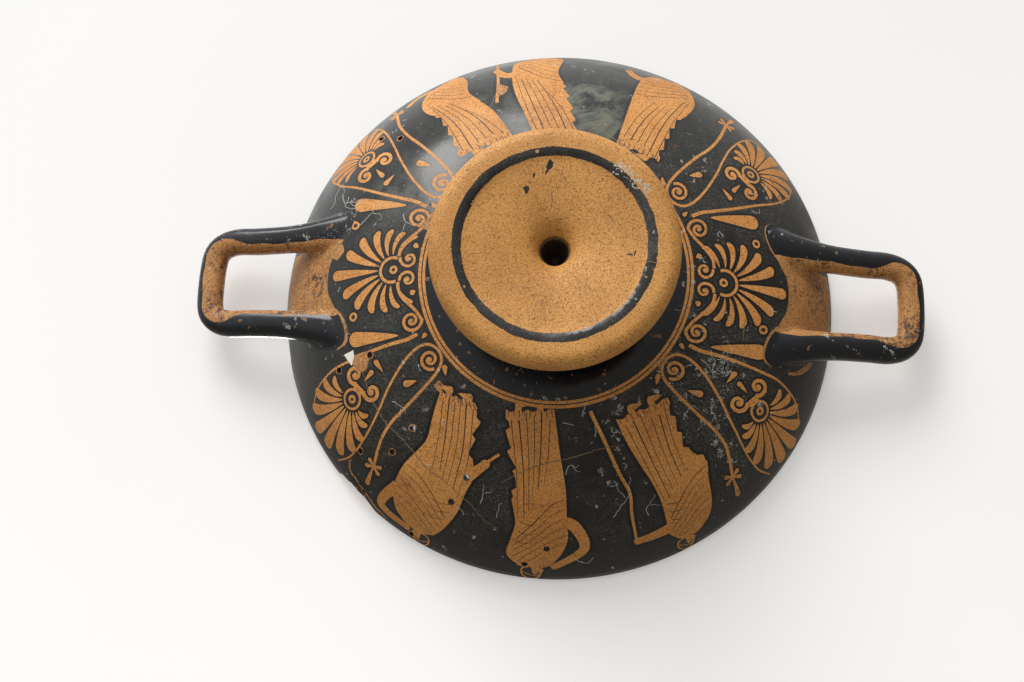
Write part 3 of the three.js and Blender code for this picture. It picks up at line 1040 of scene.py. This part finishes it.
# An empty shader group with named sockets; returns it with what it is given and its end node
def group(name, inputs, outputs):
    tree = bpy.data.node_groups.new(name, "ShaderNodeTree")
    for title, kind, value in inputs:
        socket = tree.interface.new_socket(title, in_out="INPUT", socket_type="NodeSocket" + kind)
        socket.default_value = value
    for title, kind in outputs:
        tree.interface.new_socket(title, in_out="OUTPUT", socket_type="NodeSocket" + kind)
    return tree, tree.nodes.new("NodeGroupInput").outputs, tree.nodes.new("NodeGroupOutput")


def feed(tree, socket, value):
    if isinstance(value, bpy.types.NodeSocket):
        tree.links.new(value, socket)
    elif isinstance(value, (tuple, list)) and len(value) == 3 and socket.type == "RGBA":
        socket.default_value = (*value, 1)
    else:
        socket.default_value = value


def feedAll(tree, node, values):
    for title, value in values.items():
        feed(tree, node.inputs[title], value)


def calc(tree, operation, a, b=0.0, clamp=False):
    node = tree.nodes.new("ShaderNodeMath")
    node.operation, node.use_clamp = operation, clamp
    feed(tree, node.inputs[0], a)
    feed(tree, node.inputs[1], b)
    return node.outputs[0]


def add(tree, a, b, clamp=False):
    return calc(tree, "ADD", a, b, clamp)


def less(tree, a, b):
    return calc(tree, "SUBTRACT", a, b)


def times(tree, a, b, clamp=False):
    return calc(tree, "MULTIPLY", a, b, clamp)


def most(tree, a, b):
    return calc(tree, "MAXIMUM", a, b)


def vectorCalc(tree, operation, a, b):
    node = tree.nodes.new("ShaderNodeVectorMath")
    node.operation = operation
    feed(tree, node.inputs[0], a)
    feed(tree, node.inputs[1], b)
    return node.outputs


def partOf(tree, vector, axis):
    node = tree.nodes.new("ShaderNodeSeparateXYZ")
    feed(tree, node.inputs["Vector"], vector)
    return node.outputs[axis]


def noise(tree, where, scale, detail=3.0, rough=0.55, distortion=0.0):
    node = tree.nodes.new("ShaderNodeTexNoise")
    feedAll(tree, node, {"Vector": where, "Scale": scale, "Detail": detail, "Roughness": rough,
                         "Distortion": distortion})
    return node.outputs["Fac"]


# 0 below low and 1 above high, smooth between
def ramp(tree, value, low, high):
    node = tree.nodes.new("ShaderNodeMapRange")
    node.interpolation_type = "SMOOTHSTEP"
    feedAll(tree, node, {"Value": value, "From Min": low, "From Max": high})
    return node.outputs["Result"]


def blend(tree, part, a, b):
    node = tree.nodes.new("ShaderNodeMix")
    node.data_type = "RGBA"
    feedAll(tree, node, {"Factor": part, "A": a, "B": b})
    return node.outputs["Result"]


def whereOn(tree):
    return tree.nodes.new("ShaderNodeTexCoord").outputs["Object"]


# The speckled body of the clay: cloudy colour, dark grains and small pits
def firedGrainGroup():
    tree, given, out = group("firedGrain", [
        ("Light", "Color", (0.5, 0.25, 0.1, 1)), ("Deep", "Color", (0.3, 0.12, 0.03, 1)),
        ("Grain", "Color", (0.1, 0.04, 0.01, 1)), ("Speckle", "Float", 0.5), ("Soil", "Float", 0.3),
    ], [("Color", "Color"), ("Height", "Float"), ("Roughness", "Float")])
    at = whereOn(tree)
    clouds = ramp(tree, noise(tree, at, 34, 4, 0.6), 0.36, 0.66)
    fine = ramp(tree, noise(tree, at, 1250, 3, 0.65), 0.34, 0.68)
    tone = add(tree, times(tree, clouds, 0.45), times(tree, fine, 0.55))
    colour = blend(tree, tone, given["Light"], given["Deep"])
    grains = most(tree, ramp(tree, noise(tree, at, 1900, 2, 0.5), 0.55, 0.65),
                  ramp(tree, noise(tree, at, 930, 3, 0.6), 0.58, 0.66))
    grains = times(tree, grains, given["Speckle"], True)
    colour = blend(tree, grains, colour, given["Grain"])
    reachOfSoil = times(tree, given["Soil"], 0.12)
    patches = ramp(tree, add(tree, noise(tree, at, 58, 5, 0.7, 0.6), reachOfSoil), 0.6, 0.74)
    patches = times(tree, patches, ramp(tree, noise(tree, at, 420, 3, 0.7), 0.42, 0.62))
    patches = times(tree, patches, given["Soil"], True)
    colour = blend(tree, patches, colour, given["Grain"])
    height = less(tree, times(tree, fine, 0.6), times(tree, grains, 0.8))
    rough = add(tree, 0.5, times(tree, fine, 0.25))
    feedAll(tree, out, {"Color": colour, "Height": height, "Roughness": rough})
    return tree


# Fine pale lines and crumbs that the roots of plants left on the slip, thicker round one place
def rootMarksGroup():
    tree, given, out = group("rootMarks", [
        ("Amount", "Float", 0.5), ("Place", "Vector", (0, 0, 0)), ("Reach", "Float", 0.05),
        ("Extra", "Float", 0.5),
    ], [("Mask", "Float")])
    at = whereOn(tree)
    gap = vectorCalc(tree, "DISTANCE", at, given["Place"])["Value"]
    near = calc(tree, "DIVIDE", gap, given["Reach"])
    near = less(tree, 1.0, ramp(tree, near, 0.3, 1.0))
    amount = add(tree, given["Amount"], times(tree, near, given["Extra"]))
    lines = None
    for scale, offset in ((210, 0.0), (330, 0.37)):
        shifted = vectorCalc(tree, "ADD", at, (offset, offset, offset))["Vector"]
        winding = noise(tree, shifted, scale, 3, 0.6, 0.5)
        off = calc(tree, "ABSOLUTE", less(tree, winding, 0.5))
        thread = less(tree, 1.0, ramp(tree, off, 0.006, 0.02))
        lines = thread if lines is None else most(tree, lines, thread)
    clusters = times(tree, less(tree, noise(tree, at, 62, 3, 0.6), 0.5), 0.6)
    broken = add(tree, noise(tree, at, 270, 2, 0.5), clusters)
    shown = ramp(tree, add(tree, broken, times(tree, amount, 0.2)), 0.62, 0.67)
    crumbs = ramp(tree, noise(tree, at, 1700, 2, 0.6), 0.6, 0.67)
    patches = add(tree, noise(tree, at, 90, 3, 0.7), times(tree, amount, 0.2))
    crumbs = times(tree, crumbs, ramp(tree, patches, 0.55, 0.72))
    mask = most(tree, times(tree, lines, shown), crumbs)
    tree.links.new(times(tree, mask, 0.85, True), out.inputs["Mask"])
    return tree


# Uneven gloss of the slip: glassy and dull patches, with a greyish film in places that is partly
# encrustation and partly a painted sheen
def slipSheenGroup():
    tree, given, out = group("slipSheen", [
        ("Black", "Color", (0.01, 0.01, 0.01, 1)), ("Film", "Color", (0.06, 0.065, 0.06, 1)),
        ("Worn", "Color", (0.2, 0.1, 0.04, 1)),
        ("Gloss", "Float", 0.25), ("Dull", "Float", 0.5), ("Haze", "Float", 0.3), ("Wear", "Float", 0.1),
    ], [("Color", "Color"), ("Roughness", "Float"), ("Height", "Float")])
    at = whereOn(tree)
    broad = ramp(tree, noise(tree, at, 26, 3, 0.6, 0.4), 0.4, 0.64)
    fine = noise(tree, at, 520, 4, 0.65)
    grit = ramp(tree, noise(tree, at, 1500, 3, 0.65), 0.45, 0.63)
    streaks = ramp(tree, noise(tree, at, 95, 4, 0.7, 0.8), 0.4, 0.66)
    cloud = add(tree, times(tree, broad, 0.6), times(tree, streaks, 0.4))
    # the slip is made darker towards the rim: above a set height the film fades out
    rimFade = ramp(tree, partOf(tree, at, "Z"), 0.06, 0.08)        # near the rim there is less film
    rimFade = less(tree, 1.0, times(tree, rimFade, 0.85))
    filmAndSheen = times(tree, times(tree, cloud, grit), given["Haze"])
    filmAndSheen = times(tree, filmAndSheen, rimFade, True)
    # painted sheen: the film mixed into the slip's colour is partly encrustation and partly stands for
    # the sheen of the gloss
    colour = blend(tree, filmAndSheen, given["Black"], given["Film"])
    nicks = ramp(tree, noise(tree, at, 300, 3, 0.5), 0.66, 0.7)
    nicks = times(tree, nicks, given["Wear"], True)
    colour = blend(tree, nicks, colour, given["Worn"])
    duller = less(tree, given["Dull"], given["Gloss"])
    rough = add(tree, given["Gloss"], times(tree, broad, duller))
    uneven = add(tree, nicks, times(tree, fine, 0.2))
    rough = add(tree, rough, times(tree, uneven, 0.3), True)
    feedAll(tree, out, {"Color": colour, "Roughness": rough, "Height": less(tree, fine, nicks)})
    return tree


def useGroup(kind, tree, **values):
    node = tree.nodes.new("ShaderNodeGroup")
    node.node_tree = kind
    feedAll(tree, node, values)
    return node.outputs


firedGrain, rootMarks, slipSheen = firedGrainGroup(), rootMarksGroup(), slipSheenGroup()


def spotOn(u, v):
    return tuple(float(c) * mm for c in onBowl(complex(u, v)))


def blank(name):
    material = bpy.data.materials.new(name)
    material.use_nodes = True
    tree = material.node_tree
    return material, tree, tree.nodes["Principled BSDF"]


def addBump(tree, shader, height, depth, strength):
    bump = tree.nodes.new("ShaderNodeBump")
    bump.inputs["Strength"].default_value = strength
    bump.inputs["Distance"].default_value = depth * mm
    tree.links.new(height, bump.inputs["Height"])
    feed(tree, shader.inputs["Normal"], bump.outputs["Normal"])


limeColour = (0.5, 0.5, 0.45)
# black and film colours (the film partly encrustation, partly a painted sheen), gloss, dull, haze and
# wear;
# then the root marks' amount, the place where they are thickest, its reach in metres and how many more
# there are
wornColour = (0.2, 0.095, 0.035)
slips = {
    "slip": ((0.0075, 0.0073, 0.006), (0.104, 0.103, 0.09), 0.13, 0.34, 0.8, 0.25,
             (-0.38, spotOn(48, -48), 0.062, 0.72)),
    "contour": ((0.0035, 0.0034, 0.0033), (0.012, 0.012, 0.011), 0.17, 0.32, 0.4, 0.1,
                (-0.5, spotOn(48, -48), 0.06, 0.7)),
    # the glossy slip's bluish film is a painted blue sheen
    "glossSlip": ((0.0045, 0.0055, 0.0085), (0.016, 0.023, 0.038), 0.1, 0.24, 0.4, 0.9,
                  (-0.3, spotOn(-104, 32), 0.04, 0.6)),
    "innerSlip": ((0.0095, 0.0095, 0.009), (0.04, 0.04, 0.036), 0.18, 0.4, 0.55, 0.2,
                  (-0.45, (0, 0, 0.041), 0.06, 0.2)),
}


# places where the slip misfired: (place on the plan, reach in mm, strength)
misfired = {"colour": (0.13, 0.145, 0.105), "places": [((12, 80), 24, 0.9), ((21, 62), 14, 0.8),
                                                       ((-42, 78), 14, 0.45), ((-70, 40), 20, 0.25)]}


def misfireMask(tree):
    at = whereOn(tree)
    broken = ramp(tree, noise(tree, at, 75, 4, 0.65, 0.8), 0.42, 0.6)
    found = None
    for where, reach, strength in misfired["places"]:
        gap = vectorCalc(tree, "DISTANCE", at, spotOn(*where))["Value"]
        near = less(tree, 1.0, ramp(tree, gap, reach * 0.35 * mm, reach * mm))
        near = times(tree, near, strength)
        found = near if found is None else most(tree, found, near)
    return times(tree, found, broken, True)


def slipMaterial(name):
    black, filmAndSheen, gloss, dullest, haze, wear, (amount, where, reach, extra) = slips[name]
    material, tree, shader = blank(name)
    sheen = useGroup(slipSheen, tree, Black=black, Film=filmAndSheen, Worn=wornColour, Gloss=gloss, Dull=dullest,
                     Haze=haze, Wear=wear)
    marks = useGroup(rootMarks, tree, Amount=amount, Place=where, Reach=reach, Extra=extra)["Mask"]
    dull = misfireMask(tree)
    colour = blend(tree, dull, sheen["Color"], misfired["colour"])
    feed(tree, shader.inputs["Base Color"], blend(tree, marks, colour, limeColour))
    matt = times(tree, most(tree, marks, dull), 0.4)
    feed(tree, shader.inputs["Roughness"], add(tree, sheen["Roughness"], matt, True))
    shader.inputs["Specular IOR Level"].default_value = 0.42
    addBump(tree, shader, sheen["Height"], 0.05, 0.35)
    return material


# light, deep and grain colours, speckle, soil, amount of root marks, depth and strength of the grain
clays = {
    "clay": ((0.69, 0.32, 0.082), (0.46, 0.175, 0.027), (0.13, 0.045, 0.01), 0.72, 0.5, -0.45, 0.09, 0.5),
    "footClay": ((0.66, 0.33, 0.082), (0.39, 0.16, 0.026), (0.13, 0.045, 0.008), 0.7, 0.1, -0.8, 0.09,
                 0.5),
    "bareClay": ((0.57, 0.28, 0.085), (0.34, 0.14, 0.035), (0.045, 0.02, 0.01), 0.9, 1.0, -0.35, 0.09,
                 0.5),
    "line": ((0.03, 0.017, 0.009), (0.012, 0.009, 0.007), (0.1, 0.04, 0.015), 0.5, 0.5, None, 0.05, 0.4),
    "crack": ((0.24, 0.16, 0.09), (0.12, 0.075, 0.04), (0.03, 0.02, 0.012), 0.8, 0.6, None, 0.05, 0.4),
    "plaster": ((0.8, 0.79, 0.77), (0.7, 0.68, 0.65), (0.5, 0.47, 0.42), 0.15, 0.1, None, 0.05, 0.4),
    "lime": ((0.55, 0.54, 0.48), (0.34, 0.33, 0.29), (0.1, 0.09, 0.07), 0.5, 0.3, None, 0.05, 0.4),
}
dustColour = (0.62, 0.52, 0.4)


def clayMaterial(name):
    light, deep, dark, speckle, soil, amount, depth, strength = clays[name]
    material, tree, shader = blank(name)
    grain = useGroup(firedGrain, tree, Light=light, Deep=deep, Grain=dark, Speckle=speckle, Soil=soil)
    colour = grain["Color"]
    if amount is not None:
        marks = useGroup(rootMarks, tree, Amount=amount, Extra=0.0)["Mask"]
        colour = blend(tree, marks, colour, dustColour)
    feedAll(tree, shader, {"Base Color": colour, "Roughness": grain["Roughness"]})
    addBump(tree, shader, grain["Height"], depth, strength)
    return material


for name in paints:
    make = slipMaterial if name in slips else clayMaterial
    cup.data.materials.append(make(name))
print("finishes:", len(cup.data.materials))

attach(cup, "root")
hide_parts("kylix_cup")


# The floor under the foot is seen only from above, and a paper sheet over the rim only from below,
# so the cup can be looked at from either side. Neither throws light or shade on the cup.
# the paper's shade is painted shade and its glow is painted light
stage = {"size": 20.0, "sheetGap": 1.0, "floor": (0.78, 0.78, 0.77), "sheet": (0.76, 0.76, 0.755),
         "glow": {"floor": 0.0, "paper": 0.31}, "shade": {"floor": 0.0, "paper": 0.68}}


def sheetMaterial(name, colour):
    material, tree, shader = blank(name)
    at = whereOn(tree)
    clouds = ramp(tree, noise(tree, at, 3.0, 3, 0.5, 0.5), 0.35, 0.7)
    cloth = blend(tree, clouds, tuple(c * 0.95 for c in colour), colour)
    # painted shade: the paper sheet is painted darker towards +Y (the floor gets none)
    shade = times(tree, ramp(tree, partOf(tree, at, "Y"), -0.35, 0.35), stage["shade"][name])
    cloth = blend(tree, shade, cloth, (0.4, 0.4, 0.4))
    feed(tree, shader.inputs["Base Color"], cloth)
    shader.inputs["Roughness"].default_value = 0.9
    # painted light: the paper glows a little though it is no lamp, which lightens it and the shadows on
    # it
    shader.inputs["Emission Color"].default_value = (1, 1, 1, 1)
    shader.inputs["Emission Strength"].default_value = stage["glow"][name]
    clear = tree.nodes.new("ShaderNodeBsdfTransparent")
    mix = tree.nodes.new("ShaderNodeMixShader")
    tree.links.new(tree.nodes.new("ShaderNodeNewGeometry").outputs["Backfacing"], mix.inputs["Fac"])
    tree.links.new(shader.outputs["BSDF"], mix.inputs[1])
    tree.links.new(clear.outputs["BSDF"], mix.inputs[2])
    tree.links.new(mix.outputs["Shader"], tree.nodes["Material Output"].inputs["Surface"])
    return material


def stagePlane(name, height, faceUp, colour):
    half = stage["size"]
    corners = [(-half, -half, 0), (half, -half, 0), (half, half, 0), (-half, half, 0)]
    mesh = bpy.data.meshes.new(name)
    mesh.from_pydata(corners, [], [(0, 1, 2, 3) if faceUp else (3, 2, 1, 0)])
    plane = bpy.data.objects.new(name, mesh)
    plane.location.z = height
    mesh.materials.append(sheetMaterial(name, colour))
    bpy.context.scene.collection.objects.link(plane)
    plane.visible_shadow = plane.visible_diffuse = plane.visible_glossy = False


stagePlane("floor", 0.0, True, stage["floor"])
stagePlane("paper", (cupHeight + stage["sheetGap"]) * mm, False, stage["sheet"])

lamps = {
    # name: (place, size, watts, colour); the first lights the underside, the second the inside
    "window": ((0.52, 1.18, -0.82), 0.85, 20, (1.0, 0.985, 0.96)),
    "overhead": ((0.1, 0.0, 1.5), 0.9, 14, (1.0, 0.985, 0.96)),
}


def addLamps():
    middle = Vector((0, 0, cupHeight * mm / 2))
    for name, (where, size, watts, colour) in lamps.items():
        data = bpy.data.lights.new(name, "AREA")
        data.size, data.energy, data.color = size, watts, colour
        lamp = bpy.data.objects.new(name, data)
        lamp.location = where
        lamp.rotation_euler = (middle - Vector(where)).to_track_quat("-Z", "Y").to_euler()
        bpy.context.scene.collection.objects.link(lamp)


addLamps()
print("lamps:", len(lamps))

studio = {"bright": (1.15, 1.16, 1.17), "dim": (0.35, 0.325, 0.285), "strength": 1.0,
          "from": (0.45, 0.85, -0.15)}


# Pale studio walls, brighter on one side
def addWorld():
    world = bpy.data.worlds.new("studio")
    world.use_nodes = True
    tree = world.node_tree
    ahead = tree.nodes.new("ShaderNodeTexCoord").outputs["Generated"]
    towards = vectorCalc(tree, "DOT_PRODUCT", ahead, Vector(studio["from"]).normalized())["Value"]
    walls = blend(tree, ramp(tree, towards, -0.1, 0.95), studio["dim"], studio["bright"])
    tree.links.new(walls, tree.nodes["Background"].inputs["Color"])
    tree.nodes["Background"].inputs["Strength"].default_value = studio["strength"]
    bpy.context.scene.world = world


addWorld()

# The camera looks up at the underside: angles in degrees, distances in mm.
view = {"tilt": 16.6, "turn": 5.0, "roll": 2.51, "distance": 621.0, "lens": 49.22, "aside": 1.9,
        "above": 1.33}


def addCamera():
    tilt, turn = math.radians(view["tilt"]), math.radians(view["turn"])
    right = Vector((-math.cos(turn), math.sin(turn), 0))
    away = Vector((math.sin(turn), math.cos(turn), 0))
    back = Vector((0, 0, -math.cos(tilt))) - away * math.sin(tilt)
    axes = Matrix((right, back.cross(right), back)).transposed()
    towards = Vector((math.tan(math.radians(view["aside"])), math.tan(math.radians(view["above"])),
                      -1)).normalized()
    aim = Vector((0, 0, -1)).rotation_difference(towards).to_matrix()
    facing = axes @ aim.transposed() @ Matrix.Rotation(-math.radians(view["roll"]), 3, "Z")
    data = bpy.data.cameras.new("camera")
    data.sensor_width = 36
    data.lens = view["lens"]
    camera = bpy.data.objects.new("camera", data)
    where = Vector((0, 0, cupHeight)) + back * view["distance"]
    camera.matrix_world = Matrix.Translation(where * mm) @ facing.to_4x4()
    bpy.context.scene.collection.objects.link(camera)
    bpy.context.scene.camera = camera


addCamera()
print("camera looks up from", view["tilt"], "degrees off the axis")

bpy.context.scene.view_settings.view_transform = "Standard"
